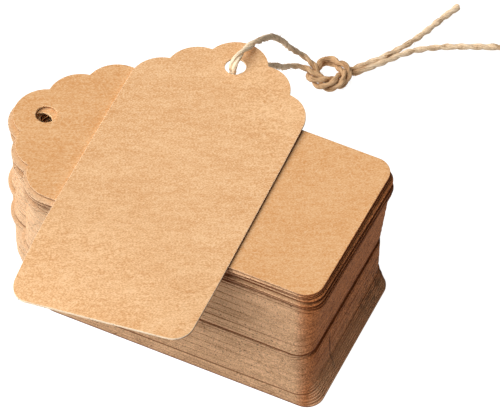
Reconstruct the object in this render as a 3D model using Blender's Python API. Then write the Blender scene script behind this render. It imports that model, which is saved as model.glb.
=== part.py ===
"""A strung kraft price tag lying across a pile of the same tags, with its jute twine.

Metres, +Z up. The pile lies on z = 0 with its square ends towards +X. The strung tag
lies across it with its hole towards +Y, and its twine drops behind the pile to the
surface that the pile lies on.
"""

import math

import bpy
import numpy as np
from mathutils import Vector

MM = 0.001

# One tag: die-cut card, the same for every tag. The hole is in the middle of the end scallop.
TAG_LENGTH = 90.0 * MM
TAG_WIDTH = 45.0 * MM
CARD = 0.6 * MM
CORNER_RADIUS = 5.5 * MM
SCALLOP_RADIUS = 8.0 * MM
SCALLOP_SETBACK = 11.5 * MM  # of the side scallops' centres behind the end scallop's
SCALLOP_BOW = 1.0 * MM  # of the shoulder scallops outside the line from end to side
HOLE_DIAMETER = 5.2 * MM
CORNER_STEPS = 4
SCALLOP_STEPS = 5
HOLE_STEPS = 16

# The pile, from the surface up. A lie is (x, y) in metres and a turn in degrees.
AIR_GAP = 0.23 * MM  # between one tag and the next
GROUP_GAP = 0.5 * MM  # between one group of tags and the next
FOOT_COUNT = 4  # the lowest tags of the bottom block stick out a little
FOOT_LIE = (0.4 * MM, -0.1 * MM, 0.6)
BOTTOM_COUNT = 23
BOTTOM_LIES = ((-1.7 * MM, -0.3 * MM, 1.0), (-1.6 * MM, 0.1 * MM, 0.3))
BOTTOM_PUSHED = (-0.9 * MM, -1.2 * MM)  # how far a block's top tags are pushed along, upwards
MIDDLE_COUNT = 23
MIDDLE_LIES = ((-1.6 * MM, 0.0 * MM, 0.3), (0.2 * MM, 0.3 * MM, -0.3))
MIDDLE_PUSHED = (-1.4 * MM, 0.6 * MM)
LOOSE_LIES = (
    (1.1 * MM, 0.3 * MM, -0.6),
    (-0.9 * MM, 0.2 * MM, -0.2),
    (1.1 * MM, -0.1 * MM, -1.0),
    (0.3 * MM, 0.2 * MM, -0.2),
    (1.0 * MM, 0.1 * MM, -0.8),
    (0.4 * MM, -0.2 * MM, -0.2),
    (-0.1 * MM, -1.4 * MM, 1.2),
    (0.4 * MM, -0.5 * MM, 0.0),
)
UNEVEN = 0.12 * MM  # how far the tags in a block stray from their neighbours
UNEVEN_TURN = 2.4  # radians from one tag to the next, so the straying doesn't repeat

# The strung tag lies across the pile, turned from square by a few degrees.
STRUNG_LIE = (-0.2 * MM, -4.5 * MM, 3.1)

# The twine. Its halves meet in the hole, against the hole's near side.
TWINE_DIAMETER = 1.3 * MM
HALVES_GAP = 0.3 * MM
STRAND_GAP = 0.5 * MM  # between strands that lie side by side in the knot
LAY_GAP = 0.05 * MM  # between the twine and the surface under it
HOLE_GAP = 0.35 * MM  # between the twine and the hole's wall
FREE_STEP = 3.0 * MM
BEND_STEP = 0.45  # of a bend's radius, where that is the shorter step
FINE_STEP = 0.25 * MM  # for measuring along the twine
TWINE_SIDES_RESOLUTION = 2

# Routes, in mm from the hole's centre. The first list of a half is above or below the
# middle of the card, the second is above the surface, and a tail lies on the surface.
OVER_AT_CARD = ((0.2, -0.4, 3.0), (0.5, 2.2, 3.2), (0.8, 5.2, 2.4), (1.2, 8.0, 1.5), (1.5, 10.4, 0.1))
OVER_DROP = (
    (0.8, 15.1, 41.5), (-0.6, 21.4, 35.0), (-2.0, 27.6, 27.5), (-3.3, 34.2, 19.0),
    (-4.0, 39.2, 11.5), (-3.3, 42.3, 6.9), (-1.6, 43.6, 4.6),
)
OVER_TAIL = (
    (11.6, 47.7), (13.5, 50.2), (15.5, 52.9), (17.5, 55.7), (19.6, 58.6), (22.2, 61.5), (26.6, 64.7),
    (33.6, 68.4), (40.6, 71.6), (44.6, 73.2),
)
UNDER_AT_CARD = ((0.0, -0.4, -3.6), (-0.2, 3.0, -6.8))
UNDER_DROP = (
    (-0.5, 9.4, 34.2), (-1.0, 17.4, 27.6), (-1.9, 26.8, 18.0), (-2.6, 32.8, 11.0),
    (-3.3, 37.2, 6.4), (-3.0, 39.9, 4.0), (-1.7, 41.5, 2.8),
)
UNDER_TAIL = (
    (10.5, 48.7), (12.3, 51.2), (14.3, 53.9), (16.2, 56.7), (17.9, 59.6), (19.5, 62.9), (21.2, 66.9),
    (22.6, 70.9), (24.0, 75.3), (26.0, 80.6),
)

# The overhand knot, tied with both halves together, is a ring round an open eye. Angles
# run round the eye from the right, in degrees. The halves come in at the left, run round
# one and a half times and leave at the right. Where the two rounds lie together, they
# twist about each other; across the top there is only one.
KNOT_AT = (5.3, 43.9)  # the eye, in mm from the hole's centre
KNOT_TURN = 26.0
KNOT_RING = 4.2 * MM
KNOT_BULGE = 0.4 * MM  # of the ring across the top
KNOT_IN = 175.0
KNOT_SPLIT = 7.0  # by which one half comes in before and the other after that
KNOT_RUN = 550.0
KNOT_STEPS = 37
TWISTED = (140.0, 400.0)
TWIST = 540.0
HALVES_TWIST = 45.0  # of each half from the middle between the two

KRAFT = (0.80, 0.50, 0.24)
KRAFT_EDGE = (0.50, 0.31, 0.17)
JUTE = (0.42, 0.28, 0.16)


def empty_scene():
    for item in list(bpy.data.objects):
        bpy.data.objects.remove(item, do_unlink=True)


def collection(name):
    made = bpy.data.collections.new(name)
    bpy.context.scene.collection.children.link(made)
    return made


def matt_material(name, colour, roughness):
    made = bpy.data.materials.new(name)
    made.use_nodes = True
    shader = made.node_tree.nodes["Principled BSDF"]
    shader.inputs["Base Color"].default_value = (*colour, 1.0)
    shader.inputs["Roughness"].default_value = roughness
    shader.inputs["Metallic"].default_value = 0.0
    return made


def arc(centre, radius, start, end, steps):
    """Points on an arc, both ends included, with angles in radians."""
    angles = np.linspace(start, end, steps + 1)
    return np.column_stack([centre[0] + radius * np.cos(angles), centre[1] + radius * np.sin(angles)])


def hole_centre():
    """In the tag's own frame, which has its square end at +X and its middle at the origin."""
    return np.array([SCALLOP_RADIUS - TAG_LENGTH / 2, 0.0])


def scallop_centres():
    """The five scallops' centres, from the +Y side round the end to the -Y side."""
    end = hole_centre()
    side = end + (SCALLOP_SETBACK, TAG_WIDTH / 2 - SCALLOP_RADIUS)
    along = (side - end) / np.linalg.norm(side - end)
    shoulder = (side + end) / 2 + SCALLOP_BOW * np.array([-along[1], along[0]])
    flip = np.array([1.0, -1.0])
    return [side, shoulder, end, shoulder * flip, side * flip]


def tag_outline():
    """The tag's outline, anticlockwise: the square end's round corners, then the scallops.

    Neighbouring scallops are equal circles, so they cross on the line midway between them.
    """
    corner = np.array([TAG_LENGTH / 2 - CORNER_RADIUS, TAG_WIDTH / 2 - CORNER_RADIUS])
    loop = [
        arc(corner * (1, -1), CORNER_RADIUS, -math.pi / 2, 0.0, CORNER_STEPS),
        arc(corner, CORNER_RADIUS, 0.0, math.pi / 2, CORNER_STEPS),
    ]
    centres = scallop_centres()
    angle = math.pi / 2
    for index, centre in enumerate(centres):
        last = index == len(centres) - 1
        if last:
            until, cusp = 1.5 * math.pi, None
        else:
            apart = centres[index + 1] - centre
            outward = np.array([apart[1], -apart[0]]) / np.linalg.norm(apart)
            reach = math.sqrt(SCALLOP_RADIUS**2 - apart @ apart / 4)
            cusp = centre + apart / 2 + reach * outward
            until = math.atan2(*(cusp - centre)[::-1]) % (2 * math.pi)
        points = arc(centre, SCALLOP_RADIUS, angle, until, SCALLOP_STEPS)
        loop.append(points if last else points[:-1])
        if not last:
            angle = math.atan2(*(cusp - centres[index + 1])[::-1]) % (2 * math.pi)
    return np.vstack(loop)


def card_curve(name, material):
    """A tag as a flat filled curve with a hole, half its thickness to each side."""
    curve = bpy.data.curves.new(name, "CURVE")
    curve.dimensions = "2D"
    curve.fill_mode = "BOTH"
    curve.extrude = CARD / 2
    curve.materials.append(material)
    hole = arc(hole_centre(), HOLE_DIAMETER / 2, 0.0, 2 * math.pi, HOLE_STEPS)[:-1]
    for loop in (tag_outline(), hole):
        spline = curve.splines.new("POLY")
        spline.points.add(len(loop) - 1)
        spline.points.foreach_set("co", np.column_stack([loop, np.full((len(loop), 2), (0.0, 1.0))]).ravel())
        spline.use_cyclic_u = True
    return curve


def pivot(name, location, parts):
    """An empty on a joint's axis, for the pieces that turn about it together."""
    made = bpy.data.objects.new(name, None)
    made.empty_display_size = HOLE_DIAMETER
    made.location = location
    parts.objects.link(made)
    return made


def place_tag(name, curve, parts, lie, height, turn=0.0, parent=None):
    """A tag with the middle of its card at a height. turn is added to its lie's, in degrees."""
    tag = bpy.data.objects.new(name, curve)
    tag.location = (lie[0], lie[1], height)
    tag.rotation_euler = (0.0, 0.0, math.radians(lie[2] + turn))
    parts.objects.link(tag)
    if parent:
        tag.parent = parent
        tag.location -= parent.location
    return tag


def block_lies(count, lowest, highest, pushed):
    """Lies that lean evenly from the lowest tag to the highest, each straying a little."""
    shares = np.linspace(0.0, 1.0, count)[:, None]
    lies = np.array(lowest) * (1 - shares) + np.array(highest) * shares
    phase = UNEVEN_TURN * np.arange(count)
    lies[:, 0] += UNEVEN * np.sin(phase)
    lies[:, 1] += UNEVEN * np.cos(1.7 * phase)
    lies[-len(pushed) :, 0] += pushed
    return lies


def pile(parts):
    """The bottom block, the middle block and the loose tags; returns the height of the top face."""
    bottom = card_curve("bottom_card", matt_material("bottom_kraft", KRAFT_EDGE, 0.9))
    middle = card_curve("middle_card", matt_material("middle_kraft", KRAFT_EDGE, 0.9))
    loose = card_curve("loose_card", matt_material("loose_kraft", KRAFT, 0.85))
    height = CARD / 2
    for number, lie in enumerate(block_lies(BOTTOM_COUNT, *BOTTOM_LIES, BOTTOM_PUSHED)):
        if number < FOOT_COUNT:
            lie = FOOT_LIE
        place_tag(f"bottom_tag_{number + 1:02d}", bottom, parts, lie, height)
        height += CARD + AIR_GAP
    height += GROUP_GAP - AIR_GAP
    block = pivot("middle_block_pivot", (0.0, 0.0, height), parts)
    for number, lie in enumerate(block_lies(MIDDLE_COUNT, *MIDDLE_LIES, MIDDLE_PUSHED)):
        place_tag(f"middle_tag_{number + 1:02d}", middle, parts, lie, height, parent=block)
        height += CARD + AIR_GAP
    height += GROUP_GAP - AIR_GAP
    for number, lie in enumerate(LOOSE_LIES):
        place_tag(f"loose_tag_{number + 1:02d}", loose, parts, lie, height)
        height += CARD + AIR_GAP
    return height - AIR_GAP - CARD / 2


def strung_tag(parts, top):
    """The tag on the pile, turned so that its hole is towards +Y; returns the hole's centre."""
    curve = card_curve("strung_card", matt_material("strung_kraft", KRAFT, 0.85))
    height = top + AIR_GAP + CARD / 2
    tag = place_tag("strung_tag", curve, parts, STRUNG_LIE, height, turn=-90.0)
    bpy.context.view_layer.update()
    return tag.matrix_world @ Vector((*hole_centre(), 0.0))


def smooth_line(points, per_span=24):
    """A smooth curve through the points: a Catmull-Rom spline, spaced by the root of the distance."""
    given = np.asarray(points, float)
    given = np.vstack([2 * given[0] - given[1], given, 2 * given[-1] - given[-2]])
    spans = []
    for p0, p1, p2, p3 in zip(given, given[1:], given[2:], given[3:]):
        t0, t1 = 0.0, np.linalg.norm(p1 - p0) ** 0.5
        t2 = t1 + np.linalg.norm(p2 - p1) ** 0.5
        t3 = t2 + np.linalg.norm(p3 - p2) ** 0.5
        t = np.linspace(t1, t2, per_span, endpoint=False)[:, None]
        a1 = ((t1 - t) * p0 + (t - t0) * p1) / (t1 - t0)
        a2 = ((t2 - t) * p1 + (t - t1) * p2) / (t2 - t1)
        a3 = ((t3 - t) * p2 + (t - t2) * p3) / (t3 - t2)
        b1 = ((t2 - t) * a1 + (t - t0) * a2) / (t2 - t0)
        b2 = ((t3 - t) * a2 + (t - t1) * a3) / (t3 - t1)
        spans.append(((t2 - t) * b1 + (t - t1) * b2) / (t2 - t1))
    return np.vstack([*spans, given[-2]])


def measured(line):
    """How far along the line each of its points is."""
    return np.concatenate([[0.0], np.cumsum(np.linalg.norm(np.diff(line, axis=0), axis=1))])


def read_at(line, places):
    along = measured(line)
    return np.column_stack([np.interp(places, along, line[:, k]) for k in range(3)])


def evenly(line, step):
    length = measured(line)[-1]
    return read_at(line, np.linspace(0.0, length, math.ceil(length / step) + 1))


def bend_steps(line):
    """The line again, with points a free step apart, and closer together where it bends."""
    dense = evenly(line, FINE_STEP)
    along = measured(dense)
    heading = np.gradient(dense, along, axis=0)
    bend = np.linalg.norm(np.gradient(heading, along, axis=0), axis=1)
    wanted = np.maximum(1 / FREE_STEP, bend / BEND_STEP)
    count = np.concatenate([[0.0], np.cumsum((wanted[1:] + wanted[:-1]) / 2 * np.diff(along))])
    places = np.interp(np.linspace(0.0, count[-1], math.ceil(count[-1]) + 1), count, along)
    return read_at(dense, places)


def knot_strand(side, hole):
    """One half's way round the eye: the ring, and about the ring's line the twist that carries it."""
    angle = KNOT_IN - side * KNOT_SPLIT + np.linspace(0.0, KNOT_RUN, KNOT_STEPS + 1)
    first, last = TWISTED
    again = first + 360.0
    turns = np.interp(angle, (first, last, again, last + 360.0), (0.0, TWIST, TWIST, 2 * TWIST))
    twist = np.radians(turns + side * HALVES_TWIST)
    top = np.sin(math.pi * np.clip((angle - last) / (again - last), 0.0, 1.0)) ** 2
    apart = (TWINE_DIAMETER + STRAND_GAP) / math.sqrt(2)
    reach = KNOT_RING + KNOT_BULGE * top + apart * np.cos(twist)
    height = TWINE_DIAMETER / 2 + LAY_GAP + apart * (1 + np.sin(twist))
    round_eye = np.radians(angle + KNOT_TURN)
    eye = np.array(KNOT_AT) * MM + np.array(hole[:2])
    return np.column_stack([eye[0] + reach * np.cos(round_eye), eye[1] + reach * np.sin(round_eye), height])


def twine_line(side, hole, at_card, drop, tail):
    """One half of the twine: out of the hole, down to the surface, through the knot and on."""
    inset = (HOLE_DIAMETER - TWINE_DIAMETER) / 2 - HOLE_GAP
    start = np.array([(0.0, -inset, side * up) for up in (HALVES_GAP / 2, CARD / 2 + TWINE_DIAMETER)])
    at_card = np.array(at_card) * MM
    drop = np.array(drop) * MM - (0, 0, hole[2])
    low = TWINE_DIAMETER / 2 + LAY_GAP
    tail = np.array([(x * MM, y * MM, low - hole[2]) for x, y in tail])
    there = np.vstack([start, at_card, drop]) + np.array(hole)
    return smooth_line(np.vstack([there, knot_strand(side, hole), tail + np.array(hole)]))


def least_gap(first, second):
    """The least clear distance between two tubes, leaving out what is close along one line or the hole."""
    apart = 3 * TWINE_DIAMETER
    distance = np.linalg.norm(first[:, None] - second[None], axis=2)
    along, other = measured(first)[:, None], measured(second)[None]
    near = np.abs(along - other) if first is second else along + other
    distance[near < apart] = np.inf
    return distance.min() - TWINE_DIAMETER


def twine(parts, hole):
    """The twine's two halves as tubes, on an empty in the hole that they swing about."""
    material = matt_material("jute_twine", JUTE, 0.95)
    swing = pivot("twine_swing_pivot", hole, parts)
    lines = {
        "twine_long_strand": twine_line(1, hole, OVER_AT_CARD, OVER_DROP, OVER_TAIL),
        "twine_short_strand": twine_line(-1, hole, UNDER_AT_CARD, UNDER_DROP, UNDER_TAIL),
    }
    for name, line in lines.items():
        curve = bpy.data.curves.new(name, "CURVE")
        curve.dimensions = "3D"
        curve.bevel_depth = TWINE_DIAMETER / 2
        curve.bevel_resolution = TWINE_SIDES_RESOLUTION
        curve.use_fill_caps = True
        curve.materials.append(material)
        points = bend_steps(line) - np.array(hole)
        spline = curve.splines.new("POLY")
        spline.points.add(len(points) - 1)
        spline.points.foreach_set("co", np.column_stack([points, np.ones(len(points))]).ravel())
        strand = bpy.data.objects.new(name, curve)
        parts.objects.link(strand)
        strand.parent = swing
        print(f"{name}: {measured(line)[-1] / MM:.1f} mm long, {len(points)} points")
    even = [evenly(line, FINE_STEP) for line in lines.values()]
    own = min(least_gap(line, line) for line in even)
    print(f"least gap of a strand to itself {own / MM:.2f} mm")
    print(f"least gap between the strands {least_gap(even[0], even[1]) / MM:.2f} mm")


def main():
    empty_scene()
    parts = collection("strung_price_tag")
    top = pile(parts)
    hole = strung_tag(parts, top)
    twine(parts, hole)
    print(f"pile top {top / MM:.2f} mm, hole at", [round(c / MM, 3) for c in hole])


main()
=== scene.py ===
import math

import bpy
import numpy as np
from mathutils import Matrix, Vector


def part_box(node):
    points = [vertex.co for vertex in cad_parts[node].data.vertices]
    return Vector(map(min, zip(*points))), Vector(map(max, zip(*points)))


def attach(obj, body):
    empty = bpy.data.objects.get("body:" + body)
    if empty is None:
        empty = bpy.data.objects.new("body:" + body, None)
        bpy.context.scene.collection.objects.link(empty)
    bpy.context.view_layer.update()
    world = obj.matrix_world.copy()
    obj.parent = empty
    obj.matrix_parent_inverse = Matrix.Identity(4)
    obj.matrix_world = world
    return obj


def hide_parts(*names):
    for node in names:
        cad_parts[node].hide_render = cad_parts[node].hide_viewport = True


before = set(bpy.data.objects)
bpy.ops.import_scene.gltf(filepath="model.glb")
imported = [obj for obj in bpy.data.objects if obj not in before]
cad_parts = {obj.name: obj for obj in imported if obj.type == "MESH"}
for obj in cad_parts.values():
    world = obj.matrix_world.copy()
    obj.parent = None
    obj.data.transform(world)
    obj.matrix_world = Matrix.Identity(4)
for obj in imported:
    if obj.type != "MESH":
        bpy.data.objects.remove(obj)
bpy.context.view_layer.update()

# The bottom block: kraft-card tags that lie close on each other, on the table. Each is one
# piece of uncoated card, die-cut with a square end, five scallops and a punched hole, and
# only its weight holds it.
MM = 0.001
TAG_LENGTH = 90.0 * MM
TAG_WIDTH = 45.0 * MM
CORNER_RADIUS = 4.5 * MM
SCALLOP_RADIUS = 8.0 * MM
SCALLOP_SETBACK = 11.5 * MM  # of the side scallops from the end one
SCALLOP_BOW = 1.0 * MM  # of the shoulder scallops, outwards
HOLE_DIAMETER = 5.2 * MM
HOLE_CENTRE = np.array([SCALLOP_RADIUS - TAG_LENGTH / 2, 0.0])
BLOCK_ROUND = 0.035 * MM  # the die leaves the cut edge slightly rounded
INNER_RING = np.array([41.5 * MM, 18.0 * MM])  # an oval's half-lengths, inside the outline
SEAM = 0.015 * MM  # between two tags that are pressed together
# The wider seams in mm, each over the tag with that number from the bottom.
BOTTOM_SEAMS = {1: 0.10, 2: 0.12, 3: 0.06, 5: 0.20, 9: 0.05, 21: 0.08, 22: 0.14}
STRAY = 0.05 * MM  # each tag's own small shift
STRAY_TURN = 2.4  # radians from one tag's shift to the next
GAP_SHADE = 0.95  # how dark the painted shade is at the bottom of the edge over a gap
SEAM_SHADE = 2.4 / MM  # the same painted shade over a seam, for each metre of the seam's width
GAP_RELIEF = 0.2 * MM  # a block's lowest tag is scuffed thinner from below
FOOT_COUNT = 8  # the lowest tags, which spread towards the square end
FOOT_LIE = (0.6 * MM, -0.1 * MM, 0.6)
FOOT_CURVE = 1.3  # 1 would spread them evenly
MARGIN = 0.35  # of the way from the outline to the inner ring
RIM_FROM = 1.9  # the hole's wall begins here, where 1 is the inner ring and 2 the hole's rim
TONE_STEP, TONE_START, TONE_SCATTER = 12.9898, 4.1, 43758.5453  # scatter the tags' tones
BOTTOM_TAGS = [f"bottom_tag_{number:02d}" for number in range(1, 24)]
BOTTOM_LIES = ((-1.7 * MM, -0.3 * MM, 1.0), (-1.6 * MM, 0.1 * MM, 0.3))
BOTTOM_PUSHED = (-0.9 * MM, -1.2 * MM)  # how far a block's top tags are pushed along, upwards


def arc(centre, radius, start, end, steps):
    """Points on a circle, from the start angle up to just before the end angle."""
    angles = np.linspace(start, end, steps, endpoint=False)
    return np.array(centre) + radius * np.column_stack([np.cos(angles), np.sin(angles)])


def straight(start, end, steps):
    """Evenly spaced points from start up to just before end."""
    shares = np.linspace(0.0, 1.0, steps, endpoint=False)[:, None]
    return np.array(start) * (1 - shares) + np.array(end) * shares


def bearing(arrow):
    """The direction of an arrow as an angle from 0 up to a full turn."""
    return math.atan2(arrow[1], arrow[0]) % (2 * math.pi)


def scallops():
    """The scalloped end, from the +Y side round to the -Y side.

    Five equal circles: the end one has the hole in its middle, the side ones touch the
    tag's sides, and the shoulder ones stand a little outside the line between them. Two
    neighbours meet where their circles cross.
    """
    side = HOLE_CENTRE + (SCALLOP_SETBACK, TAG_WIDTH / 2 - SCALLOP_RADIUS)
    along = (side - HOLE_CENTRE) / np.linalg.norm(side - HOLE_CENTRE)
    shoulder = (side + HOLE_CENTRE) / 2 + SCALLOP_BOW * np.array([-along[1], along[0]])
    flip = np.array([1.0, -1.0])
    centres = [side, shoulder, HOLE_CENTRE, shoulder * flip, side * flip]
    cusps = [side + (0.0, SCALLOP_RADIUS)]
    for near, far in zip(centres, centres[1:]):
        apart = far - near
        outward = np.array([apart[1], -apart[0]]) / np.linalg.norm(apart)
        cusps.append((near + far) / 2 + outward * math.sqrt(SCALLOP_RADIUS**2 - apart @ apart / 4))
    cusps.append(centres[-1] - (0.0, SCALLOP_RADIUS))
    arcs = [
        arc(centre, SCALLOP_RADIUS, bearing(start - centre), bearing(end - centre), 13)
        for centre, start, end in zip(centres, cusps, cusps[1:])
    ]
    return np.vstack([*arcs, cusps[-1][None]])


def tag_outline():
    """The die's cutting line, anticlockwise in the tag's own frame, with the square end at +X."""
    x, y = TAG_LENGTH / 2, TAG_WIDTH / 2
    r = CORNER_RADIUS
    lobes = scallops()
    return np.vstack([
        straight(lobes[-1], (x - r, -y), 12),
        arc((x - r, r - y), r, -math.pi / 2, 0.0, 10),
        straight((x, r - y), (x, y - r), 8),
        arc((x - r, y - r), r, 0.0, math.pi / 2, 10),
        straight((x - r, y), lobes[0], 12),
        lobes[:-1],
    ])


def card_section(thickness, edge_round):
    """The card's section as (way to the hole, inset, height, cut edge or not).

    The way is 0 at the outline, 1 on the inner ring and 2 at the hole's rim. The section goes
    up the outer cut edge, across the top face, down the hole's edge and back across the
    bottom face. Each edge has a quarter circle at its top and bottom.
    """
    turn = np.linspace(0.0, math.pi / 2, 4)
    lower = edge_round * (1 - np.column_stack([np.sin(turn), np.cos(turn)])) - (0.0, thickness / 2)
    upper = lower[::-1] * (1, -1)
    edge = np.vstack([lower, upper])
    cut = np.array([0.0, 1.0, 1.0, 1.0, 1.0, 1.0, 1.0, 0.0])
    face = np.array([0.04, 0.2, 0.6, 1.0, 1.15, 1.3, 1.45, 1.6, 1.75, 1.9, 1.98])
    flat = np.ones_like(face)
    return np.vstack([
        np.column_stack([np.zeros(len(edge)), edge, cut]),
        np.column_stack([face, edge_round * flat, thickness / 2 * flat, 0 * flat]),
        np.column_stack([np.full(len(edge), 2.0), edge[::-1], cut]),
        np.column_stack([face[::-1], edge_round * flat, -thickness / 2 * flat, 0 * flat]),
    ])


def card_surface(thickness, edge_round):
    """One tag as a closed ring: a grid of points, their way to the hole, and cut edge or not.

    A point of the outline is joined to the point of an oval inner ring in the same direction
    from the tag's middle, and that one to the point of the hole's rim in the same direction
    from the hole's middle. The card's section runs along these lines.
    """
    outer = tag_outline()
    ahead = np.roll(outer, -1, axis=0) - np.roll(outer, 1, axis=0)
    outward = np.column_stack([ahead[:, 1], -ahead[:, 0]])
    outward /= np.linalg.norm(outward, axis=1)[:, None]
    ring = outer / np.linalg.norm(outer / INNER_RING, axis=1)[:, None]
    away = ring - HOLE_CENTRE
    away /= np.linalg.norm(away, axis=1)[:, None]
    rim = HOLE_CENTRE + HOLE_DIAMETER / 2 * away
    way, inset, height, cut = card_section(thickness, edge_round).T[:, None, :, None]
    outwards, inwards = np.clip(1 - way, 0, 1), np.clip(way - 1, 0, 1)
    flat = (outer[:, None] - inset * outward[:, None]) * outwards
    flat = flat + (rim[:, None] + inset * away[:, None]) * inwards
    flat = flat + ring[:, None] * (1 - outwards - inwards)
    points = np.concatenate([flat, np.broadcast_to(height, (*flat.shape[:2], 1))], axis=2)
    return points, *(np.broadcast_to(value[..., 0], flat.shape[:2]) for value in (way, cut))


def laid(points, lie, height):
    """The points turned by the lie's angle about Z and moved to its place."""
    turn = math.radians(lie[2])
    across = np.array([[math.cos(turn), math.sin(turn)], [-math.sin(turn), math.cos(turn)]])
    placed = points.copy()
    placed[..., :2] = points[..., :2] @ across + np.array(lie[:2])
    placed[..., 2] += height
    return placed


def grid_quads(rows, columns, rows_close=True):
    """Quads between neighbours on a grid that closes across its columns, and maybe its rows."""
    index = np.arange(rows * columns).reshape(rows, columns)
    down = np.roll(index, -1, axis=0)
    if not rows_close:
        index, down = index[:-1], down[:-1]
    corners = [index, down, np.roll(down, -1, axis=1), np.roll(index, -1, axis=1)]
    return np.stack(corners, axis=-1).reshape(-1, 4)


def surface_object(name, points, faces, material, attributes):
    """A smooth-shaded mesh object at the origin, with one number per point for each attribute."""
    mesh = bpy.data.meshes.new(name)
    mesh.from_pydata(points.reshape(-1, 3), [], faces)
    mesh.polygons.foreach_set("use_smooth", np.ones(len(mesh.polygons), bool))
    for attribute, values in attributes.items():
        held = mesh.attributes.new(attribute, "FLOAT", "POINT")
        held.data.foreach_set("value", np.asarray(values, np.float32).ravel())
    mesh.materials.append(material)
    made = bpy.data.objects.new(name, mesh)
    bpy.context.scene.collection.objects.link(made)
    return made


class Shade:
    """A value in a material's node tree: arithmetic on it adds Math nodes, node() any other."""

    def __init__(self, tree, socket=None):
        self.tree = tree
        self.socket = socket

    def node(self, kind, settings=(), sockets=(), output=0):
        """A new node with its settings, then its sockets set or linked; gives one output."""
        made = self.tree.nodes.new("ShaderNode" + kind)
        for name, value in dict(settings).items():
            setattr(made, name, value)
        for name, value in dict(sockets).items():
            if isinstance(value, Shade):
                self.tree.links.new(value.socket, made.inputs[name])
            else:
                made.inputs[name].default_value = value
        return Shade(self.tree, made.outputs[output])

    def sum(self, operation, first, second):
        """One Math node on two values."""
        return self.node("Math", {"operation": operation}, {0: first, 1: second})

    def __add__(self, other):
        return self.sum("ADD", self, other)

    def __sub__(self, other):
        return self.sum("SUBTRACT", self, other)

    def __rsub__(self, other):
        return self.sum("SUBTRACT", other, self)

    def __mul__(self, other):
        return self.sum("MULTIPLY", self, other)

    __radd__ = __add__
    __rmul__ = __mul__

    def ramp(self, low, high):
        """0 below low, 1 above high and smooth between them."""
        settings = {"interpolation_type": "SMOOTHSTEP"}
        return self.node("MapRange", settings, {"Value": self, "From Min": low, "From Max": high})

    def mix(self, low, high):
        """The first colour where this is 0 and the second where it is 1."""
        return self.node("Mix", {"data_type": "RGBA"}, {0: self, 6: low, 7: high}, output=2)

    def stretched(self, size, turn=0.0):
        """These coordinates counted in lengths of size along axes that are turned about Z."""
        sockets = {"Vector": self, "Rotation": (0.0, 0.0, math.radians(turn)), "Scale": size}
        return self.node("Mapping", {"vector_type": "TEXTURE"}, sockets)

    def near(self, spot, full, none):
        """1 where these coordinates are nearer the spot than full, and 0 beyond none."""
        away = self.node("VectorMath", {"operation": "DISTANCE"}, {0: self, 1: spot}, output="Value")
        return 1.0 - away.ramp(full, none)

    def noise(self, detail=2.0, roughness=0.5):
        """Cloudy noise about 0.5 with features about as large as the coordinates' unit."""
        sockets = {"Vector": self, "Scale": 1.0, "Detail": detail, "Roughness": roughness}
        return self.node("TexNoise", {}, sockets)


def new_material(name):
    """An empty principled material, its shader node, and a Shade to start its nodes from."""
    material = bpy.data.materials.new(name)
    material.use_nodes = True
    shader = material.node_tree.nodes["Principled BSDF"]
    return material, shader, Shade(material.node_tree)


def connect(shade, shader, socket):
    """Feeds a shader's socket with a value."""
    shade.tree.links.new(shade.socket, shader.inputs[socket])


# The paper's patterns on a face: how long they are along, across and up, and how turned.
GRAIN_TURN = 26.0
CLOUDS = (14 * MM, 6 * MM, 14 * MM)
MOTTLE = (3.2 * MM, 0.9 * MM, 3.2 * MM)
GRAIN = (0.45 * MM, 0.24 * MM, 0.45 * MM)
FIBRE = (2.4 * MM, 0.16 * MM, 2.4 * MM)
FIBRE_TURNS = (24.0, 78.0, 141.0)
DUST = (1.3 * MM, 0.2 * MM, 1.3 * MM)
DUST_TURNS = (5.0, 112.0)
# The same on a cut edge, and where along, across and up the pile each kind of edge is.
STREAK = (7 * MM, 7 * MM, 0.6 * MM)
TOOTH = (0.4 * MM, 0.4 * MM, 0.3 * MM)
PATCH = (4 * MM, 4 * MM, 2 * MM)
SPECK = (0.5 * MM, 0.5 * MM, 0.4 * MM)
SMEAR = (1.6 * MM, 1.6 * MM, 1.1 * MM)
# Where the square end's darker colour begins: partly its own soil, partly painted shade on the end and
# the corner into it.
SOIL_AND_SHADE_FROM, SOIL_AND_SHADE_TO = 39.3 * MM, 43.6 * MM
# Where the square end turns paler near the table: less painted shade on its edge, and painted light on
# its ledges.
PALER_FROM, PALER_TO = 42.5 * MM, 44.5 * MM
PALER_UP_TO, NOT_PALER_FROM = 7 * MM, 15 * MM
CLEAN_FROM, CLEAN_TO = 18 * MM, 26 * MM
STAIN_AT = (44.5 * MM, 13.5 * MM, 6.5 * MM)
STAIN_FULL, STAIN_NONE = 4 * MM, 9 * MM
CRACK_AT = -9.6 * MM
CRACK_WANDER = 2.2 * MM
CRACK_BEND = 4 * MM
CRACK_FOOT, CRACK_TOP = (1 * MM, 3 * MM), (13 * MM, 16 * MM)
CRACK_DARK, CRACK_GONE = 0.03 * MM * MM, 0.2 * MM * MM  # squares of the way from its middle
SMUDGE = (0.05, 0.022, 0.01, 1.0)
# Painted shade: the colour of the dark line at the bottom of an edge over a gap or seam.
SHADE_COLOUR = (0.16, 0.038, 0.006, 1.0)
HOLE_WALL_LIGHT = (0.97, 0.64, 0.34, 1.0)  # painted light: the hole's wall, which sits in shade, painted pale
PAPER_RELIEF = 0.03 * MM


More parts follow.
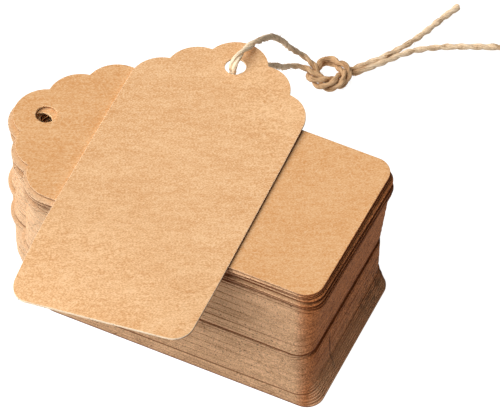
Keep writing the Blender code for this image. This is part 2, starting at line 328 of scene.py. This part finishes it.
def kraft(name, face_colours, fleck, side_colours, end_colours, scallop_colours):
    """Uncoated kraft card. The face is clouded tan, drawn out along the paper's grain, with fibres.

    The cut edge is toothed and specked, and differs from tag to tag. It is darker and browner at the
    square end and the corner into it, partly its own soil and partly painted shade, as they face away
    from the lamps. The end carries a crack and a stain. Near the table it is paler, with less painted
    shade, and its ledges in shade are painted light. The edge is cleaner and paler at the scallops,
    and the hole's wall is painted light. Painted shade darkens the edge where the painted_shade
    attribute says, and a covered face's margin where shaded_margin says.
    """
    material, shader, start = new_material(name)
    place = start.node("TexCoord", output="Object")
    cut, tone, painted_shade, shaded_margin, lit_hole_wall = (
        start.node("Attribute", {"attribute_name": attribute}, output="Fac")
        for attribute in ("cut", "tone", "painted_shade", "shaded_margin", "lit_hole_wall")
    )

    clouds = place.stretched(CLOUDS, GRAIN_TURN).noise(3.0)
    mottle = place.stretched(MOTTLE, GRAIN_TURN).noise(3.0)
    grain = place.stretched(GRAIN, GRAIN_TURN).noise(1.0)
    shade = 0.5 + 0.7 * (clouds - 0.5) + 1.2 * (mottle - 0.5) + 3.0 * (grain - 0.5)
    fibres = [place.stretched(FIBRE, turn).noise(1.0).ramp(0.64, 0.76) for turn in FIBRE_TURNS]
    dust = [place.stretched(DUST, turn).noise(1.0).ramp(0.68, 0.78) for turn in DUST_TURNS]
    face = (shade - 0.4 * (dust[0] + dust[1])).mix(*face_colours)
    face = (0.5 * (fibres[0] + fibres[1] + fibres[2])).mix(face, fleck)

    streak = place.stretched(STREAK).noise(2.0)
    tooth = place.stretched(TOOTH).noise(2.0)
    patch = place.stretched(PATCH).noise(3.0)
    edge_shade = (
        0.5 + 0.25 * (tone - 0.5) + 0.5 * (streak - 0.5) + 2.8 * (tooth - 0.5) + 0.9 * (patch - 0.5)
    )
    along, across, up = (
        place.node("SeparateXYZ", {}, {"Vector": place}, output=axis) for axis in "XYZ"
    )
    # The square end and the corner into it take the darker end colours: partly their own soil, partly
    # painted shade.
    soil_and_shade = along.ramp(SOIL_AND_SHADE_FROM, SOIL_AND_SHADE_TO)
    paler_low_end = along.ramp(PALER_FROM, PALER_TO) * (1.0 - up.ramp(PALER_UP_TO, NOT_PALER_FROM))
    clean = (0.0 - along).ramp(CLEAN_FROM, CLEAN_TO)
    edge = soil_and_shade.mix(edge_shade.mix(*side_colours), edge_shade.mix(*end_colours))
    # Near the table the square end takes less of its darker colour.
    edge = (0.4 * paler_low_end).mix(edge, edge_shade.mix(*side_colours))
    edge = clean.mix(edge, edge_shade.mix(*scallop_colours))
    speck = place.stretched(SPECK).noise(0.0).ramp(0.73, 0.79)
    dirty = 0.25 + 0.75 * place.near(STAIN_AT, STAIN_FULL, STAIN_NONE)
    smudge = place.stretched(SMEAR).noise(4.0, 0.65).ramp(0.49, 0.58)
    wander = across - CRACK_AT + CRACK_WANDER * (place.stretched((CRACK_BEND,) * 3).noise(3.0) - 0.5)
    crack = 1.0 - (wander * wander).ramp(CRACK_DARK, CRACK_GONE)
    crack = crack * up.ramp(*CRACK_FOOT) * (1.0 - up.ramp(*CRACK_TOP))
    edge = (soil_and_shade * (0.7 * smudge * dirty + 0.7 * crack) + 0.7 * speck).mix(edge, SMUDGE)
    # Painted light: the hole's wall, deep in shade, is painted pale.
    edge = (0.8 * lit_hole_wall).mix(edge, HOLE_WALL_LIGHT)

    # A covered face's margin takes the edge colour: painted shade where it lies between the tags.
    # Painted light: near the table the square end's ledges, which sit in shade, take the pale side
    # colour.
    ledge = (0.8 * paler_low_end).mix(edge, side_colours[1])
    colour = cut.mix(shaded_margin.mix(face, ledge), edge)
    # Painted shade: a dark line at the bottom of each edge over a gap or seam, weaker at the scallops
    # and near the table.
    line = painted_shade.ramp(0.08, 0.48) * (1.0 - 0.15 * clean - 0.7 * paler_low_end)
    connect(line.mix(colour, SHADE_COLOUR), shader, "Base Color")
    connect(0.78 + 0.16 * (mottle - 0.5) + 0.1 * cut, shader, "Roughness")
    shader.inputs["Specular IOR Level"].default_value = 0.08
    height = grain + 0.5 * mottle + 0.4 * tooth
    bump = start.node("Bump", {}, {"Strength": 0.25, "Distance": PAPER_RELIEF, "Height": height})
    connect(bump, shader, "Normal")
    return material


def block_lies(count, lowest, highest, pushed):
    """Lies that lean evenly from the lowest tag to the highest, each straying a little."""
    shares = np.linspace(0.0, 1.0, count)[:, None]
    lies = np.array(lowest) * (1 - shares) + np.array(highest) * shares
    phase = STRAY_TURN * np.arange(count)
    lies[:, 0] += STRAY * np.sin(phase)
    lies[:, 1] += STRAY * np.cos(1.7 * phase)
    lies[-len(pushed) :, 0] += pushed
    return lies


def lay_tag(node, body, lie, bottom, top, edge_round, material, painted_shade, covered, bend=None):
    """The tag that stands for a CAD node, on its lie, from bottom up to top.

    Its cut edge has a tone of its own, drawn from its height. Painted shade darkens the edge towards
    its bottom, as much as painted_shade says, and the margin of a covered tag's face, which lies in
    shade under the tag above.
    """
    points, way, cut = card_surface(top - bottom, edge_round)
    depth = np.where(way < 1, 0.5 - points[..., 2] / (top - bottom), 0.0)
    if bend is not None:
        points[..., 2] += bend(points[..., 0], points[..., 1])
    points = laid(points, lie, (top + bottom) / 2)
    tone = math.sin(TONE_STEP * bottom / MM + TONE_START) * TONE_SCATTER % 1.0
    attributes = {
        "cut": cut, "tone": np.full(cut.shape, tone), "painted_shade": painted_shade * depth,
        "shaded_margin": covered * np.clip(1 - way / MARGIN, 0.0, 1.0), "lit_hole_wall": way > RIM_FROM,
    }
    tag = surface_object(f"{node}_card", points, grid_quads(*cut.shape), material, attributes)
    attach(tag, body)
    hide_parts(node)


def lay_block(names, lies, body, material, open_seams):
    """The tags of a block, each reaching up to a seam's width under the next."""
    seams = np.full(len(names) - 1, SEAM)
    seams[np.array(list(open_seams)) - 1] = np.array(list(open_seams.values())) * MM
    bottoms = np.array([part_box(node)[0].z for node in names])
    tops = np.append(bottoms[1:] - seams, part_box(names[-1])[1].z)
    bottoms[0] += GAP_RELIEF
    # Painted shade on each tag's edge: strong over the gap under the block, and stronger over a seam
    # as it widens.
    painted_shades = np.append(GAP_SHADE, SEAM_SHADE * seams)
    for node, lie, bottom, top, painted_shade in zip(names, lies, bottoms, tops, painted_shades):
        lay_tag(node, body, lie, bottom, top, BLOCK_ROUND, material, painted_shade, 1.0)


pile_kraft = kraft(
    "pile_kraft",
    face_colours=((0.605, 0.292, 0.108, 1), (0.742, 0.452, 0.230, 1)), fleck=(0.82, 0.58, 0.36, 1),
    side_colours=((0.44, 0.248, 0.128, 1), (0.80, 0.502, 0.294, 1)),
    # Dark, saturated end colours: partly the end's own soil, partly painted shade.
    end_colours=((0.27, 0.084, 0.025, 1), (0.75, 0.280, 0.097, 1)),
    scallop_colours=((0.54, 0.338, 0.190, 1), (0.79, 0.525, 0.318, 1)),
)
bottom_lies = block_lies(len(BOTTOM_TAGS), *BOTTOM_LIES, BOTTOM_PUSHED)
splay = (1 - np.arange(FOOT_COUNT)[:, None] / FOOT_COUNT) ** FOOT_CURVE
bottom_lies[:FOOT_COUNT] += splay * (FOOT_LIE - bottom_lies[:FOOT_COUNT])
lay_block(BOTTOM_TAGS, bottom_lies, "bottom_block", pile_kraft, BOTTOM_SEAMS)

# The middle block: more of the same tags, pressed together and set down on the bottom
# block with a thin dark gap between them. It leans a little as it goes up.
MIDDLE_TAGS = [f"middle_tag_{number:02d}" for number in range(1, 24)]
MIDDLE_LIES = ((-1.6 * MM, 0.0 * MM, 0.3), (0.2 * MM, 0.3 * MM, -0.3))
MIDDLE_PUSHED = (-1.4 * MM, 0.6 * MM)
MIDDLE_SEAMS = {1: 0.06, 2: 0.08, 4: 0.05, 5: 0.14, 8: 0.07, 13: 0.05, 21: 0.10, 22: 0.16}
middle_lies = block_lies(len(MIDDLE_TAGS), *MIDDLE_LIES, MIDDLE_PUSHED)
lay_block(MIDDLE_TAGS, middle_lies, "middle_block", pile_kraft, MIDDLE_SEAMS)

# The loose tags on top of the pile: the same card, but with air between them, each
# turned and pushed a little its own way, and each slightly bowed.
LOOSE_BOW = 0.07 * MM
LOOSE_WAVES = (50.0, 60.0)  # radians to a metre, along and across
LOOSE_PHASE = 1.3  # from one tag's wave to the next
LOOSE_ROUND = 0.09 * MM
LOOSE_CARD = 0.5 * MM
# Painted shade at the bottom of a loose tag's edge, over the air beneath it; half as much on the top
# tag.
LOOSE_SHADE = 0.8
LOOSE_LIFT = (0.34 * MM, 0.27 * MM, 0.18 * MM, 0.10 * MM, 0.05 * MM, 0.0, 0.0, 0.0)
LOOSE_LIES = (
    (1.1 * MM, 0.3 * MM, -0.6),
    (-0.9 * MM, 0.2 * MM, -0.2),
    (1.1 * MM, -0.1 * MM, -1.0),
    (0.3 * MM, 0.2 * MM, -0.2),
    (1.0 * MM, 0.1 * MM, -0.8),
    (0.4 * MM, -0.2 * MM, -0.2),
    (-0.1 * MM, -1.4 * MM, 1.2),
    (0.4 * MM, -0.5 * MM, 0.0),
)


def bowed(phase, lift):
    """A slow wave along the tag and half a wave across it, and a lift towards its square end."""
    def bend(x, y):
        towards_end = np.clip(x / TAG_LENGTH + 0.5, 0, 1) ** 2
        wave = np.sin(LOOSE_WAVES[0] * x + phase) * np.cos(LOOSE_WAVES[1] * y)
        return LOOSE_BOW * wave + lift * towards_end
    return bend


for number, (lie, lift) in enumerate(zip(LOOSE_LIES, LOOSE_LIFT)):
    node = f"loose_tag_{number + 1:02d}"
    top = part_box(node)[1].z
    bend = bowed(LOOSE_PHASE * number, lift)
    covered = float(number < len(LOOSE_LIES) - 1)
    lay_tag(
        node, node, lie, top - LOOSE_CARD, top, LOOSE_ROUND, pile_kraft,
        LOOSE_SHADE * (1 + covered) / 2, covered, bend,
    )

# The strung tag: the tag that is in use, of the same card and cut, laid across the pile
# with its square end over the front edge and its hole over the back edge. It isn't quite
# flat: one corner of its square end droops, and one side of its hole end is bent up.
STRUNG_LIE = (-0.2 * MM, -4.5 * MM, 3.1 - 90.0)
DROOP_FROM = 19.0 * MM
DROOP_RUN = 26.0 * MM
DROOP = (-1.7 * MM, 2.9 * MM)  # at the square end's middle, and from there to the +Y corner
CURL_FROM = -5.0 * MM
CURL_RUN = 40.0 * MM
CURL = 1.6 * MM  # of the hole end's +Y side
SIDE_SHADE = 0.75  # painted shade on its +Y cut edge, which faces away from the lamps over a dark gap


def drooping(x, y):
    """Both ends' lifts, which grow with the square of the way out.

    The square end's lift changes evenly across the tag. The hole end's grows with the
    square of the way from the tag's middle line to its +Y side.
    """
    across = 2 * y / TAG_WIDTH
    square_end = np.clip((x - DROOP_FROM) / DROOP_RUN, 0.0, None) ** 2
    hole_end = np.clip((CURL_FROM - x) / CURL_RUN, 0.0, None) ** 2
    curl = CURL * np.clip(across, 0.0, None) ** 2 * hole_end
    return (DROOP[0] + DROOP[1] * across) * square_end + curl


# Painted highlight: the strung tag's cut edges are all painted paler than its face, as if catching the
# light.
HIGHLIT_EDGE = ((0.82, 0.62, 0.42, 1), (0.96, 0.80, 0.60, 1))
strung_kraft = kraft(
    "strung_kraft",
    face_colours=((0.603, 0.308, 0.126, 1), (0.815, 0.525, 0.289, 1)), fleck=(0.87, 0.63, 0.40, 1),
    side_colours=HIGHLIT_EDGE, end_colours=HIGHLIT_EDGE, scallop_colours=HIGHLIT_EDGE,
)
strung_bottom, strung_top = (corner.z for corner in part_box("strung_tag"))
# Painted shade along the +Y cut edge, fading round its corners.
shaded_side = SIDE_SHADE * np.clip(2 * tag_outline()[:, 1:] / TAG_WIDTH, 0.0, 1.0) ** 8
lay_tag(
    "strung_tag", "strung_tag", STRUNG_LIE, strung_bottom, strung_top, LOOSE_ROUND, strung_kraft,
    shaded_side, 0.0, drooping,
)

# The twine: one length of two-ply jute, threaded through the strung tag's hole so that
# its two halves meet there. They drop behind the pile, are tied together in one overhand
# knot with an open eye, and run on over the table as two bare tails.
TWINE_DIAMETER = 1.3 * MM
HALVES_GAP = 0.3 * MM  # between the halves' ends, in the hole
STRAND_GAP = 0.5 * MM  # between neighbours in the knot
LAY_GAP = 0.05 * MM  # over the table
HOLE_GAP = 0.35 * MM  # to the hole's wall
TWIST_PITCH = 7.4 * MM
PLY_RADIUS = 0.53 * MM
PLY_REACH = 0.27 * MM
PLY_SIDES = 24
PLY_RIDGES = 6
RIDGE_WIND = 1900.0  # radians to a metre
UNLAID = 8.0 * MM  # the way from the hole over which the plies lie open
UNTWISTED = 0.9  # of their twist, at the hole
OPENED = 1.1  # how much further apart they are there
FRAYED = 12.0 * MM  # the way from a tail's end over which it swells
SWELL = 0.3
TWINE_STEP = 0.16 * MM
NEVER_ALONG = np.array([0.72, -0.35, 0.6])  # a direction that the twine never runs in
HOLE = Vector(laid(np.array([*HOLE_CENTRE, 0.0]), STRUNG_LIE, (strung_bottom + strung_top) / 2))
LONG_LENGTH = 0.162
SHORT_LENGTH = 0.148
# Routes in mm from the hole's centre. A half's first list is above or below the middle of
# the card, its second and its tail are above the table.
LONG_AT_CARD = ((0.2, -0.4, 3.0), (0.5, 2.2, 3.2), (0.8, 5.2, 2.4), (1.2, 8.0, 1.5), (1.5, 10.4, 0.1))
LONG_DROP = (
    (0.8, 15.1, 41.5), (-0.6, 21.4, 35.0), (-2.0, 27.6, 27.5), (-3.3, 34.2, 19.0),
    (-4.0, 39.2, 11.5), (-3.3, 42.3, 6.9), (-1.6, 43.6, 4.6),
)
LONG_TAIL = (
    (11.6, 47.7), (13.5, 50.2), (15.5, 52.9), (17.5, 55.7), (19.6, 58.6), (22.2, 61.5), (26.6, 64.7),
    (33.6, 68.4), (40.6, 71.6), (44.6, 73.2),
)
SHORT_AT_CARD = ((0.0, -0.4, -3.6), (-0.2, 3.0, -6.8))
SHORT_DROP = (
    (-0.5, 9.4, 34.2), (-1.0, 17.4, 27.6), (-1.9, 26.8, 18.0), (-2.6, 32.8, 11.0),
    (-3.3, 37.2, 6.4), (-3.0, 39.9, 4.0), (-1.7, 41.5, 2.8),
)
SHORT_TAIL = (
    (10.5, 48.7), (12.3, 51.2), (14.3, 53.9), (16.2, 56.7), (17.9, 59.6), (19.5, 62.9), (21.2, 66.9),
    (22.6, 70.9), (24.0, 75.3), (26.0, 80.6),
)


def smooth_line(points, per_span=24):
    """A smooth curve through the points: a Catmull-Rom spline, spaced by the root of the distance."""
    given = np.asarray(points, float)
    given = np.vstack([2 * given[0] - given[1], given, 2 * given[-1] - given[-2]])
    p0, p1, p2, p3 = (given[k : len(given) - 3 + k, None] for k in range(4))
    t1 = np.linalg.norm(p1 - p0, axis=2, keepdims=True) ** 0.5
    t2 = t1 + np.linalg.norm(p2 - p1, axis=2, keepdims=True) ** 0.5
    t3 = t2 + np.linalg.norm(p3 - p2, axis=2, keepdims=True) ** 0.5
    t = t1 + (t2 - t1) * np.linspace(0.0, 1.0, per_span, endpoint=False)[None, :, None]
    a1 = ((t1 - t) * p0 + t * p1) / t1
    a2 = ((t2 - t) * p1 + (t - t1) * p2) / (t2 - t1)
    a3 = ((t3 - t) * p2 + (t - t2) * p3) / (t3 - t2)
    b1 = ((t2 - t) * a1 + t * a2) / t2
    b2 = ((t3 - t) * a2 + (t - t1) * a3) / (t3 - t1)
    spans = ((t2 - t) * b1 + (t - t1) * b2) / (t2 - t1)
    return np.vstack([spans.reshape(-1, 3), given[-2]])


def measured(line):
    """How far along the line each of its points is."""
    return np.concatenate([[0.0], np.cumsum(np.linalg.norm(np.diff(line, axis=0), axis=1))])


def evenly(line, step):
    """The line again with points about a step apart."""
    along = measured(line)
    places = np.linspace(0.0, along[-1], math.ceil(along[-1] / step) + 1)
    return np.column_stack([np.interp(places, along, line[:, k]) for k in range(3)])


# The knot is a ring round an open eye. Angles run round the eye from the right, in
# degrees. Both halves come in at the left, run round one and a half times and leave at the
# right. Where the two rounds lie together, they twist about each other.
KNOT_AT = (5.3, 43.9)
KNOT_TURN = 26.0
KNOT_RING = 4.2 * MM
KNOT_BULGE = 0.4 * MM
KNOT_IN = 175.0
KNOT_SPLIT = 7.0
KNOT_RUN = 550.0
KNOT_STEPS = 37
TWISTED = (140.0, 400.0)
TWIST = 540.0
HALVES_TWIST = 45.0


def knot_strand(side):
    """One half's way round the eye: the ring, and about the ring's line the twist that carries it."""
    angle = KNOT_IN - side * KNOT_SPLIT + np.linspace(0.0, KNOT_RUN, KNOT_STEPS + 1)
    first, last = TWISTED
    again = first + 360.0
    turns = np.interp(angle, (first, last, again, last + 360.0), (0.0, TWIST, TWIST, 2 * TWIST))
    twist = np.radians(turns + side * HALVES_TWIST)
    top = np.sin(math.pi * np.clip((angle - last) / (again - last), 0.0, 1.0)) ** 2
    apart = (TWINE_DIAMETER + STRAND_GAP) / math.sqrt(2)
    reach = KNOT_RING + KNOT_BULGE * top + apart * np.cos(twist)
    height = TWINE_DIAMETER / 2 + LAY_GAP + apart * (1 + np.sin(twist))
    round_eye = np.radians(angle + KNOT_TURN)
    x, y = np.array(KNOT_AT) * MM + np.array(HOLE[:2])
    return np.column_stack([x + reach * np.cos(round_eye), y + reach * np.sin(round_eye), height])


def twine_line(side, at_card, drop, tail):
    """One half of the twine: out of the hole, down to the table, through the knot and on."""
    inset = (HOLE_DIAMETER - TWINE_DIAMETER) / 2 - HOLE_GAP
    card = strung_top - strung_bottom
    start = [(0.0, -inset, side * up) for up in (HALVES_GAP / 2, card / 2 + TWINE_DIAMETER)]
    over_hole = np.vstack([start, np.array(at_card) * MM]) + np.array(HOLE)
    over_table = np.array([HOLE[0], HOLE[1], 0.0])
    drop = np.array(drop) * MM + over_table
    low = TWINE_DIAMETER / 2 + LAY_GAP
    tail = np.column_stack([np.array(tail) * MM, np.full(len(tail), low)]) + over_table
    return smooth_line(np.vstack([over_hole, drop, knot_strand(side), tail]))


def carried_frame(line):
    """Distance, and two directions across the line that it carries along without twisting.

    A fixed direction is made square to the line, and then turned back by the sum of the
    small turns about the line that it makes from point to point.
    """
    along = measured(line)
    heading = np.gradient(line, along, axis=0)
    heading /= np.linalg.norm(heading, axis=1)[:, None]
    first = NEVER_ALONG - heading * (heading @ NEVER_ALONG)[:, None]
    first /= np.linalg.norm(first, axis=1)[:, None]
    second = np.cross(heading, first)
    picked_up = np.einsum("ij,ij->i", np.diff(first, axis=0), (second[1:] + second[:-1]) / 2)
    back = -np.concatenate([[0.0], np.cumsum(picked_up)])[:, None]
    cosine, sine = np.cos(back), np.sin(back)
    return along, first * cosine + second * sine, second * cosine - first * sine


def twisted_plies(line):
    """Two plies round a line, as (ply, along, around) points, with their distances and angles.

    Each ply's middle goes round the line on a helix, opposite the other ply's. At the hole
    the helix hardly turns and the plies lie open. A ply's own section is a circle with ridges
    of fibre that wind the other way, and its thickness wanders and grows towards the tail's
    end. Its ends draw in to close.
    """
    along, first, second = carried_frame(line)
    ply = np.arange(2)[:, None, None]
    s = along[None, :, None]
    angle = np.linspace(0.0, 2 * math.pi, PLY_SIDES, endpoint=False)[None, None]
    open_share = np.exp(-s / UNLAID)
    turned = s - UNTWISTED * UNLAID * (1 - open_share)
    helix = 2 * math.pi * turned / TWIST_PITCH + math.pi * ply
    ply_reach = PLY_REACH * (1 + OPENED * open_share)
    lumps = 1 + 0.07 * np.sin(610 * s + 2.1 * ply) + 0.06 * np.sin(1370 * s + 4.0 * ply)
    ridges = 1 + 0.09 * np.sin(PLY_RIDGES * angle - RIDGE_WIND * s)
    ridges = ridges + 0.03 * np.sin(3 * angle + 2600 * s)
    ends = np.minimum(1.0, (np.minimum(s, along[-1] - s) / TWINE_DIAMETER * 4 + 0.15)) ** 0.5
    swollen = 1 + SWELL * np.exp((s - along[-1]) / FRAYED)
    radius = PLY_RADIUS * lumps * ridges * ends * swollen
    right = ply_reach * np.cos(helix) + radius * np.cos(angle)
    up = ply_reach * np.sin(helix) + radius * np.sin(angle)
    points = line[None, :, None] + right[..., None] * first[None, :, None]
    points = points + up[..., None] * second[None, :, None]
    return points, np.broadcast_to(s, right.shape), np.broadcast_to(angle / (2 * math.pi), right.shape)


def plies_faces(shape):
    """Quads round each ply and a cap at each of its ends."""
    plies, rows, columns = shape
    faces = []
    for start in np.arange(plies) * rows * columns:
        faces += (grid_quads(rows, columns, rows_close=False)[:, ::-1] + start).tolist()
        faces.append((np.arange(columns) + start).tolist())
        faces.append((np.arange(columns)[::-1] + start + (rows - 1) * columns).tolist())
    return faces


# Colours and patterns of the jute, with how near the knot and the hole they are full and gone.
JUTE_STREAKS = (300.0, 9.0, 60.0)  # waves to a metre, waves round a ply, slow waves to a metre
JUTE_PATCH = 3.5 * MM
JUTE_SPECK = 0.3 * MM
JUTE_RELIEF = 0.06 * MM
KNOT_STAIN = (0.84, 0.70, 0.56, 1)
STAINED_NEAR = (6.0 * MM, 11.0 * MM)
BLEACHED = (0.95, 0.80, 0.58, 1)
BLEACHED_NEAR = (3.0 * MM, 11.0 * MM)


def jute(name, dark, middle, pale):
    """Hairy jute: dull fibres that run along the ply, from brown in the grooves to straw.

    It is bleached where it lies open at the hole, and browner in the knot.
    """
    material, shader, start = new_material(name)
    along = start.node("Attribute", {"attribute_name": "along"}, output="Fac")
    around = start.node("Attribute", {"attribute_name": "around"}, output="Fac")
    place = start.node("TexCoord", output="Object")
    fine, wide, slow = JUTE_STREAKS
    streaks = start.node("CombineXYZ", {}, {"X": along * fine, "Y": around * wide, "Z": along * slow})
    streak = streaks.noise(3.0, 0.6)
    patch = place.stretched((JUTE_PATCH,) * 3).noise(2.0)
    speck = place.stretched((JUTE_SPECK,) * 3).noise(2.0)
    shade = 0.5 + 1.5 * (streak - 0.5) + 0.9 * (patch - 0.5) + 0.6 * (speck - 0.5)
    colour = shade.ramp(0.62, 1.0).mix(shade.ramp(0.05, 0.6).mix(dark, middle), pale)
    eye = (HOLE[0] + KNOT_AT[0] * MM, HOLE[1] + KNOT_AT[1] * MM, 0.0)
    multiply = {"data_type": "RGBA", "blend_type": "MULTIPLY"}
    stained = start.node("Mix", multiply, {0: 1.0, 6: colour, 7: KNOT_STAIN}, output=2)
    colour = place.near(eye, *STAINED_NEAR).mix(colour, stained)
    colour = (0.75 * place.near(HOLE, *BLEACHED_NEAR)).mix(colour, BLEACHED)
    connect(colour, shader, "Base Color")
    connect(0.95 - 0.15 * streak, shader, "Roughness")
    shader.inputs["Specular IOR Level"].default_value = 0.2
    height = streak + 0.4 * speck
    bump = start.node("Bump", {}, {"Strength": 0.6, "Distance": JUTE_RELIEF, "Height": height})
    connect(bump, shader, "Normal")
    return material


HAIR_COUNT = 260
HAIR_LENGTH = 4.5 * MM
HAIR_RADIUS = 0.032 * MM
HAIR_CLEARANCE = 0.06 * MM  # from a hair's middle to the table


def stray_fibres(line, seed):
    """Fine hairs that leave the twine's surface, lean along it and curl, as three-sided tapers.

    Points are (hair, along, around): a start on the twine, a lean outwards and forwards,
    and a curl that grows with the square of the distance.
    """
    draw = np.random.default_rng(seed)
    along, first, second = carried_frame(line)
    pick = draw.integers(4, len(line) - 4, HAIR_COUNT)
    heading = np.gradient(line, along, axis=0)[pick]
    angle = draw.uniform(0.0, 2 * math.pi, HAIR_COUNT)[:, None]
    out = np.cos(angle) * first[pick] + np.sin(angle) * second[pick]
    across = np.cross(heading, out)
    length = HAIR_LENGTH * draw.uniform(0.25, 1.0, HAIR_COUNT)[:, None, None] ** 1.5
    lean = draw.uniform(-1.3, 1.3, HAIR_COUNT)[:, None, None]
    curl = draw.normal(0.0, 0.6, HAIR_COUNT)[:, None, None]
    share = np.linspace(0.0, 1.0, 6)[None, :, None]
    middle = line[pick][:, None] + 0.4 * TWINE_DIAMETER * out[:, None] + length * (
        share * (out[:, None] * 0.7 + lean * heading[:, None])
        + share**2 * curl * (across[:, None] - 0.4 * out[:, None])
    )
    middle[..., 2] = np.maximum(middle[..., 2], HAIR_CLEARANCE)
    turn = np.linspace(0.0, 2 * math.pi, 3, endpoint=False)[None, None, :, None]
    thick = HAIR_RADIUS * (1 - 0.85 * share[:, :, None])
    other = np.cross(heading, across)
    ring = np.cos(turn) * across[:, None, None] + np.sin(turn) * other[:, None, None]
    return middle[:, :, None] + thick * ring


def fibre_faces(shape):
    """Quads along each hair, and a triangle at each of its ends."""
    hairs, rows, columns = shape
    start = (np.arange(hairs) * rows * columns)[:, None, None]
    quads = (grid_quads(rows, columns, rows_close=False) + start).reshape(-1, 4).tolist()
    root = (np.arange(columns)[::-1] + start[:, 0]).tolist()
    tip = (np.arange(columns) + start[:, 0] + (rows - 1) * columns).tolist()
    return quads + root + tip


jute_twine = jute("jute_twine", (0.40, 0.245, 0.130, 1), (0.82, 0.62, 0.415, 1), (0.95, 0.85, 0.69, 1))
jute_fibre = jute("jute_fibre", (0.46, 0.32, 0.19, 1), (0.70, 0.53, 0.34, 1), (0.88, 0.74, 0.54, 1))
halves = {
    "long": (LONG_LENGTH, twine_line(1, LONG_AT_CARD, LONG_DROP, LONG_TAIL)),
    "short": (SHORT_LENGTH, twine_line(-1, SHORT_AT_CARD, SHORT_DROP, SHORT_TAIL)),
}
for seed, (half, (length, line)) in enumerate(halves.items()):
    route = evenly(line, TWINE_STEP)
    route[:, 2] = np.maximum(route[:, 2], PLY_RADIUS + PLY_REACH)
    points, along, around = twisted_plies(route)
    points[..., 2] = np.maximum(points[..., 2], 0.0)
    strand = surface_object(
        f"twine_{half}_half", points, plies_faces(along.shape), jute_twine,
        {"along": along, "around": around},
    )
    hairs = stray_fibres(route, seed)
    spread = np.broadcast_to(np.linspace(0.0, 1.0, len(hairs))[:, None, None], hairs.shape[:3])
    fibres = surface_object(
        f"twine_{half}_fibres", hairs, fibre_faces(hairs.shape[:3]), jute_fibre,
        {"along": spread, "around": spread},
    )
    for piece in (strand, fibres):
        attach(piece, "twine")
    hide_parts(f"twine_{half}_strand")

# The studio: a pale floor that takes no part in the light, a wide soft lamp overhead from
# the front left, three weaker lamps from below for the light that a real table throws
# back, and a dim warm room.
FLOOR_SIDE = 8.0
FLOOR_DROP = 0.02 * MM
floor_mesh = bpy.data.meshes.new("floor")
corner = np.array([(-1, -1, 0), (1, -1, 0), (1, 1, 0), (-1, 1, 0)]) * FLOOR_SIDE / 2
floor_mesh.from_pydata(corner - (0, 0, FLOOR_DROP), [], [(0, 1, 2, 3)])
floor_paint, floor_shader, _ = new_material("pale_floor")
floor_shader.inputs["Base Color"].default_value = (0.25, 0.25, 0.25, 1.0)
floor_shader.inputs["Roughness"].default_value = 0.9
floor_shader.inputs["Specular IOR Level"].default_value = 0.0
floor_shader.inputs["Emission Color"].default_value = (1.0, 1.0, 1.0, 1.0)
floor_shader.inputs["Emission Strength"].default_value = 1.0
floor_mesh.materials.append(floor_paint)
floor = bpy.data.objects.new("floor", floor_mesh)
floor.visible_diffuse = False
floor.visible_shadow = False
bpy.context.scene.collection.objects.link(floor)

world = bpy.data.worlds.new("soft_room")
world.use_nodes = True
world.node_tree.nodes["Background"].inputs["Color"].default_value = (1.0, 0.90, 0.80, 1.0)
world.node_tree.nodes["Background"].inputs["Strength"].default_value = 0.12
bpy.context.scene.world = world


def soft_sun(name, towards, strength, angle):
    """A far lamp that looks as wide as the angle, in the given direction from the object."""
    lamp = bpy.data.lights.new(name, "SUN")
    lamp.energy = strength
    lamp.angle = math.radians(angle)
    hung = bpy.data.objects.new(name, lamp)
    hung.rotation_mode = "QUATERNION"
    hung.rotation_quaternion = (-Vector(towards)).to_track_quat("-Z", "Y")
    bpy.context.scene.collection.objects.link(hung)


soft_sun("overhead", (-0.42, -0.42, 0.80), 4.1, 62.0)
soft_sun("front_bounce", (-0.15, -0.85, -0.50), 0.7, 60.0)
soft_sun("left_bounce", (-0.92, -0.05, -0.38), 1.8, 60.0)
soft_sun("right_bounce", (0.85, -0.20, -0.45), 0.8, 60.0)

# The camera, as the photograph was taken: from above the front right, with a long lens.
# It stands a distance back from a point on the table, and a little to the right and up.
CAMERA_AZIMUTH = math.radians(25.984)
CAMERA_ELEVATION = math.radians(50.885)
CAMERA_DISTANCE = 831.51 * MM
CAMERA_RIGHT = 16.642 * MM
CAMERA_UP = 18.583 * MM
CAMERA_CENTRE = Vector((-1.0 * MM, 0.0, 0.0))
PHOTO_WIDTH = 500  # in pixels
PHOTO_FOCUS = 3363.53  # from the lens to the picture, in the same pixels
SENSOR_WIDTH = 36.0
back = Vector((
    math.sin(CAMERA_AZIMUTH) * math.cos(CAMERA_ELEVATION),
    -math.cos(CAMERA_AZIMUTH) * math.cos(CAMERA_ELEVATION),
    math.sin(CAMERA_ELEVATION),
))
right = Vector((math.cos(CAMERA_AZIMUTH), math.sin(CAMERA_AZIMUTH), 0.0))
up = back.cross(right)
lens = bpy.data.cameras.new("camera")
lens.sensor_fit = "HORIZONTAL"
lens.sensor_width = SENSOR_WIDTH
lens.lens = PHOTO_FOCUS / PHOTO_WIDTH * SENSOR_WIDTH
lens.clip_start = 0.01
lens.clip_end = 20.0
camera = bpy.data.objects.new("camera", lens)
place = back * CAMERA_DISTANCE + right * CAMERA_RIGHT + up * CAMERA_UP + CAMERA_CENTRE
camera.matrix_world = Matrix.Translation(place) @ Matrix((right, up, back)).transposed().to_4x4()
bpy.context.scene.collection.objects.link(camera)
bpy.context.scene.camera = camera
bpy.context.scene.view_settings.view_transform = "Standard"
